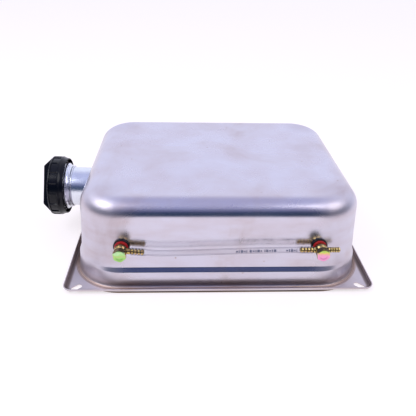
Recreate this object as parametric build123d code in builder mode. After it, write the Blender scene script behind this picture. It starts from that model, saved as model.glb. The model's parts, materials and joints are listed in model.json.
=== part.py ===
"""Flat stainless tank: drawn pan, closing sheet, screw filler cap, level tube on two banjo fittings.

Frame: origin at the centre of the closing sheet's outer face, +Z up through the tank,
+X towards the outlet end, -X towards the filler cap, -Y out of the wall with the level tube.
Millimetres.
"""
import os
from math import cos, radians, sin, tan

from build123d import *

# ---- tank: driving dimensions -------------------------------------------------------------
TANK_H = 98.0            # closing sheet's underside to the flat top
SHEET_T = 1.0            # stainless sheet thickness
DRAFT = 4.0              # wall draft in degrees
FLANGE_X = 325.0         # outside size of the flange, lip included
FLANGE_Y = 265.0
FLANGE_R = 9.0           # flange corner radius
LIP_Z = 6.0              # top of the upturned lip
LIP_BEND_R = 3.5         # outside radius of the lip's bend
CORNER_X = 103.5         # axes of the pan's four rounded corners
CORNER_Y = 74.5
CORNER_R = 42.0          # wall radius about those axes at CORNER_Z
CORNER_Z = 78.0
TOP_FILLET = 20.0        # between the walls and the flat top
SHOULDER_TOP = 25.0      # the shoulder steps the wall out between these two heights
SHOULDER_BOTTOM = 19.5
SHOULDER_STEP = 2.75
SHOULDER_R = 3.0
FLARE_R = 4.0            # between the wall's foot and the flange
FLANGE_START = 54.0      # where the flat flange takes over, measured from the corner axes
SLOT_X = 149.3           # corner slots
SLOT_Y = 124.0
SLOT_LENGTH = 12.0
SLOT_WIDTH = 6.4
SLOT_ANGLE = 42.0        # slot direction from the X axis, towards each corner
CLOSING_R = 55.0         # closing sheet's corner radius about the corner axes
SEAM_W = 1.4             # seam weld's width

# ---- filler neck and cap: stations measured along the neck from the end wall ----------------
NECK_Z = 53.6            # height of the neck's axis at the wall
NECK_TILT = 2.5          # the neck points slightly upwards, degrees
NECK_R = 23.0
NECK_BORE_R = 20.0
NECK_IN = 4.0            # how far the tube reaches inside the wall
NECK_HOLE_GAP = 0.05     # the wall's hole round the tube
NECK_RIM = 0.8           # rounding of the tube's mouth
NECK_WELD_R = 2.6        # neck weld's height over the tube, at the wall
NECK_WELD_TOP_R = 2.2
NECK_WELD_U = (-2.0, 1.0, 2.8)   # stations of its root, shoulder and toe
MOUTH_U = 42.2           # neck's open end
COLLAR_U = 22.8          # collar's inner end
COLLAR_GAP = 0.02        # between the collar's bore and the tube
# collar's grooved flare: (height over the tube, distance past the collar's inner end)
COLLAR_FLARE = [(0.9, 0.3), (1.1, 1.6), (0.8, 2.0), (2.4, 3.4), (2.1, 3.8)]
COLLAR_RING_SLOPE = 0.6  # behind the stop ring
COLLAR_END = 0.2         # the collar stops this far short of the mouth
COLLAR_CHAMFER = 0.6
COLLAR_RING_R = 27.2     # the collar's stop ring
COLLAR_RING_U = (28.3, 30.2)
COLLAR_CORE_R = 25.4
THREAD_R = 26.9
THREAD_U = (33.4, 39.4)  # crests of the coarse screw thread
THREAD_W = 1.6
CAP_OPEN_U = 29.0        # cap's open end
CAP_END_U = 48.3         # flat outer face
CAP_TOP_T = 3.1          # thickness of the cap's end wall
CAP_R = 34.8
CAP_LIP_R = 32.4         # outer radius at the open end
CAP_BORE_R = 27.9
# cap's skirt: (height over the lip's radius, distance past the open end)
CAP_SKIRT = [(-0.5, 0), (0.6, 1.0), (1.2, 2.6)]
CAP_SHOULDER = [(0.4, 1.6), (0, 0.6)]    # (depth under the cap's radius, distance before the ribs)
CAP_CHAMFER = 1.2
GRIP_U = (36.0, 45.6)    # ribbed band
GRIP_DEPTH = 1.1
GRIP_SLOPE = 0.5         # slope at both ends of the ribbed band
GRIP_BITE = 0.2          # how far a rib reaches past the band's surfaces
GRIP_RIBS = 16
GRIP_RIB_W = 1.5
GRIP_FIRST = 10.0        # first rib's angle from the top, degrees
BAR_END_U = 57.9         # grip bar's outer edge
BAR_HALF = 22.5          # half its length at the outer edge
BAR_FOOT_HALF = 33.4     # half its length on the cap's end
BAR_W = 11.0
BAR_BITE = 0.5           # how far the bar is set into the cap's end
BAR_ANGLE = 27.0         # bar's turn from upright, degrees
GASKET_R = (19.0, 27.3)
GASKET_T = 2.4
GASKET_GAP = 0.3
VALVE_R = 9.5
VALVE_T = 1.0
VALVE_STEM_R = 2.0
VALVE_STEM_L = 6.0
VENT_R = 0.8
VENT_OFFSET = 7.5        # vent holes beside the grip bar

# ---- banjo fittings: stations measured out from the front wall ------------------------------
FITTING_X = 100.0        # fittings stand at plus and minus this
FITTING_Z = 50.5         # height of the bolt's axis at the wall
WALL_HOLE_R = 4.4
RUBBER_T = 2.0
RUBBER_R = 8.3
FIBRE_T = 1.3
FIBRE_R = 7.1
WASHER_BORE_R = 4.25
EYE_H = 9.6
EYE_R = 6.2
EYE_END_R = 5.2
EYE_BORE_R = 4.35
EYE_EDGE = 2.0           # height of the eye's rounded edges
EYE_EDGE_DEPTH = 0.2
EYE_BAND = 1.2           # half height of the eye's widest band
OUTER_WASHER_T = 1.2
OUTER_WASHER_R = 6.3
BOLT_AF = 12.0           # across the hexagon's flats
BOLT_HEAD_H = 5.1
BOLT_CHAMFER = 0.45
BOLT_R = 4.0
BOLT_WAIST_R = 3.2
BOLT_WAIST_L = 5.0
BOLT_BORE_R = 1.75
BOLT_BORE_PAST = 1.5     # the bore ends this far past the barbs' height
BOLT_IN = 9.0            # how far the bolt reaches inside the wall
BOSS_R = 9.0
BOSS_L = 8.0
BOSS_BORE_R = 4.05
BOSS_WELD = 1.6
ARM_BORE_R = 1.3
ARM_CORE_R = 2.4
ARM_TIP_DEPTH = 0.3      # the last tooth runs out below the core by this much
BEAD_R = 3.1             # round collar at the foot of each barb
BEAD_RISE = 0.3
BEAD_START = (1.4, 0.9)  # the bead rises between these depths inside the eye's radius
BEAD_END = (1.0, 0.6)    # and falls between these distances before the first tooth
TOOTH_FLANK = 0.3        # length of a tooth's steep side

# barb: tip distance from the bolt's axis, first barb, number of barbs, barb radius, tilt in degrees
BARB_LEFT_TILT = -5.0    # the left fitting is turned slightly, so its barb points down a little
BARB_LEFT = (23.3, 10.6, 4, 3.1)
BARB_RIGHT_INNER = (21.5, 8.8, 4, 2.8)
BARB_RIGHT_OUTER = (19.2, 6.8, 5, 2.8)

# ---- clear level tube ------------------------------------------------------------------------
TUBE_R = 3.0
TUBE_BORE_R = 2.0
TUBE_STRETCH = 0.75      # wall thickness where the tube is stretched over a barb
TUBE_FIT = 0.05          # gap between barb crests and the stretched tube
TUBE_OVERLAP = 0.5       # how far it reaches past the first tooth
TUBE_EASE = 3.0          # length over which it narrows past a barb's tip
TUBE_EASE_START = 1.5    # where the narrowing starts, before the tip
TUBE_TURN_RUN = 12.0     # from the narrowed end to the route's first corner
TUBE_TURN_R = 150.0

os.makedirs("parts", exist_ok=True)

FLANGE_TOP = 2.0 * SHEET_T
END_WALL_X = CORNER_X + CORNER_R + tan(radians(DRAFT)) * (CORNER_Z - NECK_Z)


def wall_distance(z):
    """Distance of the drafted wall's outside from the corner axes at height z."""
    return CORNER_R + tan(radians(DRAFT)) * (CORNER_Z - z)


def wall_plane(x):
    """Plane on the front wall's outside at a fitting: local Z points out of the wall."""
    y = -(CORNER_Y + wall_distance(FITTING_Z))
    out = (0, -cos(radians(DRAFT)), sin(radians(DRAFT)))
    return Plane(origin=(x, y, FITTING_Z), x_dir=(1, 0, 0), z_dir=out)


def turned(plane, angle):
    """The same plane with its X direction turned about its own Z axis."""
    x_dir = plane.x_dir * cos(radians(angle)) + plane.y_dir * sin(radians(angle))
    return Plane(origin=plane.origin, x_dir=x_dir, z_dir=plane.z_dir)


def save(piece, name):
    """Label a finished piece and write its STEP file."""
    piece.part.label = name
    export_step(piece.part, f"parts/{name}.step")


def round_piece(plane, outline):
    """Turn an outline of (radius, station) points about the plane's Z axis."""
    with BuildPart() as piece:
        with BuildSketch(Plane(origin=plane.origin, x_dir=plane.x_dir, z_dir=-plane.y_dir)):
            with BuildLine():
                Polyline(*outline, close=True)
            make_face()
        revolve(axis=Axis(plane.origin, plane.z_dir))
    return piece


def ring_piece(plane, r_in, r_out, start, end, edge=0.0):
    """Plain ring between two stations, with its outer edges eased."""
    with BuildPart() as piece:
        with BuildSketch(plane.offset(start)):
            Circle(r_out)
            Circle(r_in, mode=Mode.SUBTRACT)
        extrude(amount=end - start)
        if edge > 0:
            outer = piece.edges().filter_by(GeomType.CIRCLE).sort_by(SortBy.RADIUS)[-2:]
            fillet(outer, radius=edge)
    return piece


# ---- tank shell --------------------------------------------------------------------------------
wall_foot = wall_distance(FLANGE_TOP) + SHOULDER_STEP
wall_points = [
    (0, TANK_H),
    (wall_distance(TANK_H), TANK_H),
    (wall_distance(SHOULDER_TOP), SHOULDER_TOP),
    (wall_distance(SHOULDER_BOTTOM) + SHOULDER_STEP, SHOULDER_BOTTOM),
    (wall_foot, FLANGE_TOP),
    (FLANGE_START, FLANGE_TOP),
]
wall_radii = [TOP_FILLET, SHOULDER_R, SHOULDER_R, FLARE_R]


def sheet_section(plane):
    """Section through the pan's sheet, from the flat top down to the start of the flange."""
    with BuildSketch(plane) as section:
        with BuildLine():
            outside = FilletPolyline(*wall_points, radius=wall_radii)
            inside = offset(outside, amount=SHEET_T, side=Side.RIGHT, closed=False, mode=Mode.ADD)
            Line(outside @ 0, inside @ 0)
            Line(outside @ 1, inside @ 1)
        make_face()
    return section.sketch


X_WALL = Plane(origin=(CORNER_X, CORNER_Y, 0), x_dir=(1, 0, 0), z_dir=(0, -1, 0))
Y_WALL = Plane(origin=(CORNER_X, CORNER_Y, 0), x_dir=(0, 1, 0), z_dir=(1, 0, 0))

NECK_AXIS = Plane(
    origin=(-END_WALL_X, 0, NECK_Z),
    x_dir=(0, -1, 0),
    z_dir=(-cos(radians(NECK_TILT)), 0, sin(radians(NECK_TILT))),
)
END_WALL = Plane(
    origin=(-END_WALL_X, 0, NECK_Z),
    x_dir=(0, -1, 0),
    z_dir=(-cos(radians(DRAFT)), 0, sin(radians(DRAFT))),
)
LEFT = wall_plane(-FITTING_X)
RIGHT = wall_plane(FITTING_X)
SLOT_PLACES = [(sx * SLOT_X, sy * SLOT_Y, sx * sy * SLOT_ANGLE) for sx in (-1, 1) for sy in (-1, 1)]


def tray(size_x, size_y, corner_r, start, end, bend_r):
    """Shallow block with rounded corners and a rounded lower edge."""
    with BuildPart() as block:
        with BuildSketch(Plane.XY.offset(start)):
            RectangleRounded(size_x, size_y, corner_r)
        extrude(amount=end - start)
        fillet(block.faces().sort_by(Axis.Z)[0].edges(), radius=bend_r)
    return block


with BuildPart() as flange:
    add(tray(FLANGE_X, FLANGE_Y, FLANGE_R, SHEET_T, LIP_Z, LIP_BEND_R).part)
    inner = (FLANGE_X - 2 * SHEET_T, FLANGE_Y - 2 * SHEET_T, FLANGE_R - SHEET_T)
    add(tray(*inner, FLANGE_TOP, 2 * LIP_Z, LIP_BEND_R - SHEET_T).part, mode=Mode.SUBTRACT)
    with BuildSketch(Plane.XY):
        RectangleRounded(
            2 * (CORNER_X + FLANGE_START), 2 * (CORNER_Y + FLANGE_START), FLANGE_START
        )
    extrude(amount=LIP_Z, mode=Mode.SUBTRACT)

with BuildPart() as tank_shell:
    revolve(sheet_section(X_WALL), axis=Axis(X_WALL.origin, (0, 0, 1)), revolution_arc=90)
    extrude(sheet_section(X_WALL), amount=CORNER_Y)
    extrude(sheet_section(Y_WALL), amount=-CORNER_X)
    with BuildSketch(Plane.XY.offset(TANK_H - SHEET_T)):
        with Locations((CORNER_X / 2, CORNER_Y / 2)):
            Rectangle(CORNER_X, CORNER_Y)
    extrude(amount=SHEET_T)
    mirror(about=Plane.YZ)
    mirror(about=Plane.XZ)
    add(flange.part)
    for slot_x, slot_y, slot_turn in SLOT_PLACES:
        with BuildSketch(Plane.XY):
            with Locations(Location((slot_x, slot_y, 0), (0, 0, slot_turn))):
                SlotOverall(SLOT_LENGTH, SLOT_WIDTH)
        extrude(amount=LIP_Z, mode=Mode.SUBTRACT)
    with BuildSketch(NECK_AXIS.offset(-NECK_IN)):
        Circle(NECK_R + NECK_HOLE_GAP)
    extrude(amount=2 * NECK_IN, mode=Mode.SUBTRACT)
    for fitting in (LEFT, RIGHT):
        with BuildSketch(fitting.offset(-2 * SHEET_T)):
            Circle(WALL_HOLE_R)
        extrude(amount=4 * SHEET_T, mode=Mode.SUBTRACT)
save(tank_shell, "tank_shell")

# ---- closing sheet and its weld ------------------------------------------------------------------
with BuildPart() as closing_sheet:
    with BuildSketch():
        RectangleRounded(2 * (CORNER_X + CLOSING_R), 2 * (CORNER_Y + CLOSING_R), CLOSING_R)
    extrude(amount=SHEET_T)
save(closing_sheet, "closing_sheet")

with BuildPart() as seam_weld:
    seam_r = CLOSING_R + SEAM_W
    with BuildSketch():
        RectangleRounded(2 * (CORNER_X + seam_r), 2 * (CORNER_Y + seam_r), seam_r)
        RectangleRounded(
            2 * (CORNER_X + CLOSING_R), 2 * (CORNER_Y + CLOSING_R), CLOSING_R, mode=Mode.SUBTRACT
        )
    extrude(amount=SHEET_T)
save(seam_weld, "seam_weld")

# ---- filler neck ---------------------------------------------------------------------------------
filler_neck = ring_piece(NECK_AXIS, NECK_BORE_R, NECK_R, -NECK_IN, MOUTH_U, edge=NECK_RIM)
save(filler_neck, "filler_neck")

collar_bore = NECK_R + COLLAR_GAP
collar_end = MOUTH_U - COLLAR_END
ring_start, ring_end = COLLAR_RING_U
collar_outline = [(collar_bore, COLLAR_U)]
collar_outline += [(NECK_R + rise, COLLAR_U + past) for rise, past in COLLAR_FLARE]
collar_outline += [
    (COLLAR_RING_R, ring_start),
    (COLLAR_RING_R, ring_end),
    (COLLAR_CORE_R, ring_end + COLLAR_RING_SLOPE),
]
for crest in THREAD_U:
    collar_outline += [
        (COLLAR_CORE_R, crest - THREAD_W),
        (THREAD_R, crest - THREAD_W / 2),
        (THREAD_R, crest + THREAD_W / 2),
        (COLLAR_CORE_R, crest + THREAD_W),
    ]
collar_outline += [
    (COLLAR_CORE_R, collar_end - COLLAR_CHAMFER),
    (COLLAR_CORE_R - COLLAR_CHAMFER, collar_end),
    (collar_bore, collar_end),
]
neck_collar = round_piece(NECK_AXIS, collar_outline)
save(neck_collar, "neck_collar")

weld_root, weld_shoulder, weld_toe = NECK_WELD_U
with BuildPart() as neck_weld:
    with BuildSketch(Plane(origin=NECK_AXIS.origin, x_dir=NECK_AXIS.x_dir, z_dir=-NECK_AXIS.y_dir)):
        with BuildLine():
            Polyline(
                (NECK_R, weld_root),
                (NECK_R + NECK_WELD_R, weld_root),
                (NECK_R + NECK_WELD_TOP_R, weld_shoulder),
                (NECK_R, weld_toe),
                close=True,
            )
        make_face()
    revolve(axis=Axis(NECK_AXIS.origin, NECK_AXIS.z_dir))
    split(bisect_by=END_WALL, keep=Keep.TOP)
save(neck_weld, "neck_weld")

# ---- cap --------------------------------------------------------------------------------------------
cap_inner_end = CAP_END_U - CAP_TOP_T
grip_start, grip_end = GRIP_U
cap_outline = [(CAP_BORE_R, CAP_OPEN_U)]
cap_outline += [(CAP_LIP_R + rise, CAP_OPEN_U + past) for rise, past in CAP_SKIRT]
cap_outline += [(CAP_R - depth, grip_start - before) for depth, before in CAP_SHOULDER]
cap_outline += [
    (CAP_R, grip_start),
    (CAP_R - GRIP_DEPTH, grip_start + GRIP_SLOPE),
    (CAP_R - GRIP_DEPTH, grip_end - GRIP_SLOPE),
    (CAP_R, grip_end),
    (CAP_R, CAP_END_U - CAP_CHAMFER),
    (CAP_R - CAP_CHAMFER, CAP_END_U),
    (0, CAP_END_U),
    (0, cap_inner_end),
    (CAP_BORE_R, cap_inner_end),
]
BAR_PLANE = turned(NECK_AXIS, BAR_ANGLE)

with BuildPart() as cap_body:
    with BuildSketch(Plane(origin=NECK_AXIS.origin, x_dir=NECK_AXIS.x_dir, z_dir=-NECK_AXIS.y_dir)):
        with BuildLine():
            Polyline(*cap_outline, close=True)
        make_face()
    revolve(axis=Axis(NECK_AXIS.origin, NECK_AXIS.z_dir))
    grip_plane = turned(NECK_AXIS.offset((grip_start + grip_end) / 2), GRIP_FIRST)
    with Locations(grip_plane):
        with PolarLocations(CAP_R - (GRIP_DEPTH + GRIP_BITE) / 2, GRIP_RIBS, start_angle=90):
            Box(GRIP_DEPTH + GRIP_BITE, GRIP_RIB_W, grip_end - grip_start - GRIP_BITE)
    with BuildSketch(Plane(origin=BAR_PLANE.origin, x_dir=BAR_PLANE.y_dir, z_dir=BAR_PLANE.x_dir)):
        with BuildLine():
            Polyline(
                (-BAR_FOOT_HALF, CAP_END_U - BAR_BITE),
                (-BAR_HALF, BAR_END_U),
                (BAR_HALF, BAR_END_U),
                (BAR_FOOT_HALF, CAP_END_U - BAR_BITE),
                close=True,
            )
        make_face()
    extrude(amount=BAR_W / 2, both=True)
    for side in (-1, 1):
        with BuildSketch(BAR_PLANE.offset(cap_inner_end - 1)):
            with Locations((side * VENT_OFFSET, 0)):
                Circle(VENT_R)
        extrude(amount=CAP_TOP_T + 2, mode=Mode.SUBTRACT)
    with BuildSketch(NECK_AXIS.offset(cap_inner_end)):
        Circle(VALVE_STEM_R)
    extrude(amount=VALVE_STEM_L, mode=Mode.SUBTRACT)
save(cap_body, "cap_body")

gasket_start = MOUTH_U + GASKET_GAP
cap_gasket = ring_piece(NECK_AXIS, GASKET_R[0], GASKET_R[1], gasket_start, gasket_start + GASKET_T)
save(cap_gasket, "cap_gasket")

with BuildPart() as cap_vent_valve:
    with BuildSketch(NECK_AXIS.offset(cap_inner_end)):
        Circle(VALVE_R)
    extrude(amount=-VALVE_T)
    with BuildSketch(NECK_AXIS.offset(cap_inner_end)):
        Circle(VALVE_STEM_R)
    extrude(amount=VALVE_STEM_L)
save(cap_vent_valve, "cap_vent_valve")

# ---- banjo fittings ---------------------------------------------------------------------------------
rubber_end = RUBBER_T
fibre_end = rubber_end + FIBRE_T
eye_end = fibre_end + EYE_H
outer_end = eye_end + OUTER_WASHER_T
arm_station = fibre_end + EYE_H / 2


def arm_plane(fitting, turn):
    """Plane on the bolt's axis whose Z points along a barb turned by that angle from local X."""
    base = turned(fitting.offset(arm_station), turn)
    return Plane(origin=base.origin, x_dir=base.z_dir, z_dir=base.x_dir)


def barb_outline(tip, first, count, crest):
    """Outline of a hose barb: (radius, distance from the bolt's axis) with its bead and teeth."""
    pitch = (tip - first) / count
    points = [
        (0, 0),
        (BEAD_R - BEAD_RISE, 0),
        (BEAD_R - BEAD_RISE, EYE_R - BEAD_START[0]),
        (BEAD_R, EYE_R - BEAD_START[1]),
        (BEAD_R, first - BEAD_END[0]),
        (ARM_CORE_R, first - BEAD_END[1]),
        (ARM_CORE_R, first),
    ]
    for tooth in range(count):
        start = first + tooth * pitch
        last = tooth == count - 1
        points.append((crest, start + TOOTH_FLANK))
        points.append((ARM_CORE_R - ARM_TIP_DEPTH if last else ARM_CORE_R, start + pitch))
    points.append((0, tip))
    return points


def make_banjo(fitting, barbs):
    """Banjo: a rounded eye with its barbs, bored through; barbs is a list of (turn, sizes)."""
    eye_outline = [
        (0, fibre_end),
        (EYE_END_R, fibre_end),
        (EYE_R - EYE_EDGE_DEPTH, fibre_end + EYE_EDGE),
        (EYE_R, arm_station - EYE_BAND),
        (EYE_R, arm_station + EYE_BAND),
        (EYE_R - EYE_EDGE_DEPTH, eye_end - EYE_EDGE),
        (EYE_END_R, eye_end),
        (0, eye_end),
    ]
    with BuildPart() as banjo:
        add(round_piece(fitting, eye_outline).part)
        for turn, sizes in barbs:
            add(round_piece(arm_plane(fitting, turn), barb_outline(*sizes)).part)
        for turn, sizes in barbs:
            with BuildSketch(arm_plane(fitting, turn)):
                Circle(ARM_BORE_R)
            extrude(amount=sizes[0] + 1, mode=Mode.SUBTRACT)
        with BuildSketch(fitting):
            Circle(EYE_BORE_R)
        extrude(amount=outer_end, mode=Mode.SUBTRACT)
    return banjo


def make_bolt(fitting):
    """Hollow banjo bolt with a hexagon head and cross holes at the barbs' height."""
    with BuildPart() as bolt:
        with BuildSketch(fitting.offset(outer_end)):
            RegularPolygon(BOLT_AF / 2, 6, major_radius=False, rotation=30)
        extrude(amount=BOLT_HEAD_H)
        face_edges = bolt.faces().sort_by(Axis(fitting.origin, fitting.z_dir))[-1].edges()
        chamfer(face_edges, length=BOLT_CHAMFER)
        with BuildSketch(fitting.offset(-BOLT_IN)):
            Circle(BOLT_R)
        extrude(amount=BOLT_IN + outer_end)
        with BuildSketch(fitting.offset(arm_station - BOLT_WAIST_L / 2)):
            Circle(BOLT_R)
            Circle(BOLT_WAIST_R, mode=Mode.SUBTRACT)
        extrude(amount=BOLT_WAIST_L, mode=Mode.SUBTRACT)
        with BuildSketch(fitting.offset(-BOLT_IN)):
            Circle(BOLT_BORE_R)
        extrude(amount=BOLT_IN + arm_station + BOLT_BORE_PAST, mode=Mode.SUBTRACT)
        for turn in (0, 90):
            with BuildSketch(arm_plane(fitting, turn)):
                Circle(ARM_BORE_R)
            extrude(amount=BOLT_R + 1, both=True, mode=Mode.SUBTRACT)
    return bolt


def against_shell(block):
    """The block trimmed to the inside of the shell, whose corner bends away behind it."""
    with BuildPart() as piece:
        add(block.part)
        add(tank_shell.part, mode=Mode.SUBTRACT)
    return piece


FITTINGS = {
    "left": (LEFT, [(BARB_LEFT_TILT, BARB_LEFT)]),
    "right": (RIGHT, [(180, BARB_RIGHT_INNER), (0, BARB_RIGHT_OUTER)]),
}
for name, (fitting, barbs) in FITTINGS.items():
    save(ring_piece(fitting, WASHER_BORE_R, RUBBER_R, 0, rubber_end), f"rubber_washer_{name}")
    save(ring_piece(fitting, WASHER_BORE_R, FIBRE_R, rubber_end, fibre_end), f"fibre_washer_{name}")
    save(make_banjo(fitting, barbs), f"banjo_{name}")
    save(ring_piece(fitting, WASHER_BORE_R, OUTER_WASHER_R, eye_end, outer_end), f"outer_washer_{name}")
    save(make_bolt(fitting), f"banjo_bolt_{name}")
    inside = -SHEET_T
    boss = ring_piece(fitting, BOSS_BORE_R, BOSS_R, inside - BOSS_L, inside)
    save(against_shell(boss), f"boss_{name}")
    weld_outline = [(BOSS_R, inside), (BOSS_R + BOSS_WELD, inside), (BOSS_R, inside - BOSS_WELD)]
    save(against_shell(round_piece(fitting, weld_outline)), f"boss_weld_{name}")


# ---- clear level tube ---------------------------------------------------------------------------------
def stretched_outline(sizes):
    """Tube wall over a barb, from the barb's foot to where it has narrowed again."""
    tip, first, count, crest = sizes
    inside_r = crest + TUBE_FIT
    return [
        (inside_r, first - TUBE_OVERLAP),
        (inside_r + TUBE_STRETCH, first - TUBE_OVERLAP),
        (inside_r + TUBE_STRETCH, tip - TUBE_EASE_START),
        (TUBE_R, tip + TUBE_EASE),
        (TUBE_BORE_R, tip + TUBE_EASE),
        (inside_r, tip - TUBE_OVERLAP),
    ]


left_arm = arm_plane(LEFT, BARB_LEFT_TILT)
right_arm = arm_plane(RIGHT, 180)
left_start = BARB_LEFT[0] + TUBE_EASE
right_start = BARB_RIGHT_INNER[0] + TUBE_EASE
tube_route = [
    left_arm.offset(left_start).origin,
    left_arm.offset(left_start + TUBE_TURN_RUN).origin,
    right_arm.offset(right_start + TUBE_TURN_RUN).origin,
    right_arm.offset(right_start).origin,
]

with BuildPart() as sight_tube:
    with BuildLine():
        route = FilletPolyline(*tube_route, radius=TUBE_TURN_R)
    with BuildSketch(Plane(origin=route @ 0, x_dir=left_arm.x_dir, z_dir=route % 0)):
        Circle(TUBE_R)
        Circle(TUBE_BORE_R, mode=Mode.SUBTRACT)
    sweep(path=route)
    add(round_piece(left_arm, stretched_outline(BARB_LEFT)).part)
    add(round_piece(right_arm, stretched_outline(BARB_RIGHT_INNER)).part)
save(sight_tube, "sight_tube")
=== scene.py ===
"""Looks for a flat stainless water tank with a screw filler cap and a clear level tube.

Laid out as an add-on and run as a script. Lengths are millimetres until a mesh is written in metres.
"""

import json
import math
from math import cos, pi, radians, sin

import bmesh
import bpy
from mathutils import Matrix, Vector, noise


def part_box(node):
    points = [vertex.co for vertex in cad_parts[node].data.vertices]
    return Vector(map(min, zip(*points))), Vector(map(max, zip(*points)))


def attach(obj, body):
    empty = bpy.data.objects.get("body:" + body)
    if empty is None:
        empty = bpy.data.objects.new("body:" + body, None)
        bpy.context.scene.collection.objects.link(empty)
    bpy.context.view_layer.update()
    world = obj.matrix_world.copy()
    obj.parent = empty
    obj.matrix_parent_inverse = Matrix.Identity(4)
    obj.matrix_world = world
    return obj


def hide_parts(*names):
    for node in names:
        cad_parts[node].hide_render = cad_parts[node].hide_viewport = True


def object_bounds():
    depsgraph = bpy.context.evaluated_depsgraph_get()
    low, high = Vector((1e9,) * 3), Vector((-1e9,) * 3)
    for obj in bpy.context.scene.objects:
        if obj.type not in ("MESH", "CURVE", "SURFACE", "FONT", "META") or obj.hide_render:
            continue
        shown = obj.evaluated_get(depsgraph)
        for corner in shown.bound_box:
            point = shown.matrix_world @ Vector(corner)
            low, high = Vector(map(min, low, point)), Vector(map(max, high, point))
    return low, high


bl_info = {
    "name": "Fresh Water Tank",
    "version": (1, 0, 0),
    "blender": (4, 5, 0),
    "location": "View3D > Sidebar > Tank",
    "description": "Builds the meshes, finishes and studio for a drawn stainless tank",
    "category": "Object",
}

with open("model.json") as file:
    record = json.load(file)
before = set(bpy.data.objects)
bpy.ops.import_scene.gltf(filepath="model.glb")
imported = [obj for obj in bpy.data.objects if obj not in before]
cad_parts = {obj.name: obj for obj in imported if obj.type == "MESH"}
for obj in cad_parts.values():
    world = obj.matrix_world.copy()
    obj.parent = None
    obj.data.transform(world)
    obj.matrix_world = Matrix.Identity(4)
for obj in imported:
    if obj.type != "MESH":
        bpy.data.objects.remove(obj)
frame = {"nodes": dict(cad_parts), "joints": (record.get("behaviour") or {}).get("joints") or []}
CAD_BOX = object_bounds()

MM = 0.001
NODES = frame["nodes"]
CAP_JOINT = next(joint for joint in frame["joints"] if joint["name"] == "cap_turn")


# ---- small tools -------------------------------------------------------------------------------


def linear(hex_colour):
    """Linear RGB from an sRGB hex colour."""
    parts = [int(hex_colour[i:i + 2], 16) / 255 for i in (0, 2, 4)]
    return tuple(c / 12.92 if c <= 0.04045 else ((c + 0.055) / 1.055) ** 2.4 for c in parts)


def plane_at(origin, x_axis, z_axis):
    """Matrix of a plane whose Z is its normal; origin in millimetres."""
    z = Vector(z_axis).normalized()
    x = Vector(x_axis).normalized()
    y = z.cross(x)
    turn = Matrix((x, y, z)).transposed().to_4x4()
    return Matrix.Translation(Vector(origin) * MM) @ turn @ Matrix.Scale(MM, 4)


def mesh_piece(name, vertices, faces, place=None, crease=32.0):
    """Mesh object with smooth faces and sharp edges above the crease angle, in degrees."""
    mesh = bpy.data.meshes.new(name)
    mesh.from_pydata([tuple(v) for v in vertices], [], faces)
    work = bmesh.new()
    work.from_mesh(mesh)
    bmesh.ops.remove_doubles(work, verts=work.verts, dist=1e-5 if place is None else 1e-3)
    bmesh.ops.recalc_face_normals(work, faces=work.faces)
    for face in work.faces:
        face.smooth = True
    for edge in work.edges:
        edge.smooth = len(edge.link_faces) == 2 and edge.calc_face_angle(0) < radians(crease)
    work.to_mesh(mesh)
    work.free()
    if place is not None:
        mesh.transform(place)
    made = bpy.data.objects.new(name, mesh)
    bpy.context.scene.collection.objects.link(made)
    return made


def rounded(outline, radius, steps=4):
    """Closed outline with each corner eased by an arc of up to that radius."""
    points = [Vector(p) for p in outline]
    eased = []
    for i, corner in enumerate(points):
        back = points[i - 1] - corner
        ahead = points[(i + 1) % len(points)] - corner
        on_axis = abs(corner.x) < 1e-6
        turn = back.angle(ahead, pi)
        if on_axis or turn > radians(172) or turn < radians(8):
            eased.append(corner)
            continue
        reach = min(radius / math.tan(turn / 2), 0.45 * back.length, 0.45 * ahead.length)
        start = corner + back.normalized() * reach
        end = corner + ahead.normalized() * reach
        for k in range(steps + 1):
            t = k / steps
            eased.append(start * (1 - t) ** 2 + corner * 2 * t * (1 - t) + end * t ** 2)
    return [(p.x, p.y) for p in eased]


def turned_solid(outline, steps, shape=None):
    """Vertices and faces of an outline of (radius, station) turned about Z.

    shape(radius, station, angle) may change a point's radius. Points on the axis close into a fan.
    """
    vertices = []
    faces = []
    rows = []
    for radius, station in outline:
        if radius < 1e-6:
            rows.append([len(vertices)])
            vertices.append((0, 0, station))
            continue
        row = []
        for k in range(steps):
            angle = 2 * pi * k / steps
            r = shape(radius, station, angle) if shape else radius
            row.append(len(vertices))
            vertices.append((r * cos(angle), r * sin(angle), station))
        rows.append(row)
    for low, high in zip(rows, rows[1:] + rows[:1]):
        if len(low) == 1 and len(high) == 1:
            continue
        for k in range(steps):
            n = (k + 1) % steps
            if len(low) == 1:
                faces.append((low[0], high[n], high[k]))
            elif len(high) == 1:
                faces.append((low[k], low[n], high[0]))
            else:
                faces.append((low[k], low[n], high[n], high[k]))
    return vertices, faces


def turned_piece(name, outline, place, steps=96, ease=0.25, shape=None, crease=32.0):
    """Turned piece with eased edges."""
    eased = rounded(outline, ease) if ease else outline
    return mesh_piece(name, *turned_solid(eased, steps, shape), place, crease)


def combine(base, other, operation):
    """Boolean of two closed pieces, written into base; other is removed."""
    modifier = base.modifiers.new("combine", "BOOLEAN")
    modifier.object = other
    modifier.operation = operation
    modifier.solver = "EXACT"
    bpy.context.view_layer.update()
    evaluated = base.evaluated_get(bpy.context.evaluated_depsgraph_get())
    mesh = bpy.data.meshes.new_from_object(evaluated)
    base.modifiers.clear()
    base.data = mesh
    bpy.data.objects.remove(other)
    return base


def sharpen(piece, crease=32.0):
    """Set smooth faces and sharp edges again after a boolean."""
    work = bmesh.new()
    work.from_mesh(piece.data)
    bmesh.ops.remove_doubles(work, verts=work.verts, dist=2e-6)
    bmesh.ops.dissolve_degenerate(work, edges=work.edges, dist=2e-6)
    for face in work.faces:
        face.smooth = True
    for edge in work.edges:
        edge.smooth = len(edge.link_faces) == 2 and edge.calc_face_angle(0) < radians(crease)
    work.to_mesh(piece.data)
    work.free()
    return piece


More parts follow.
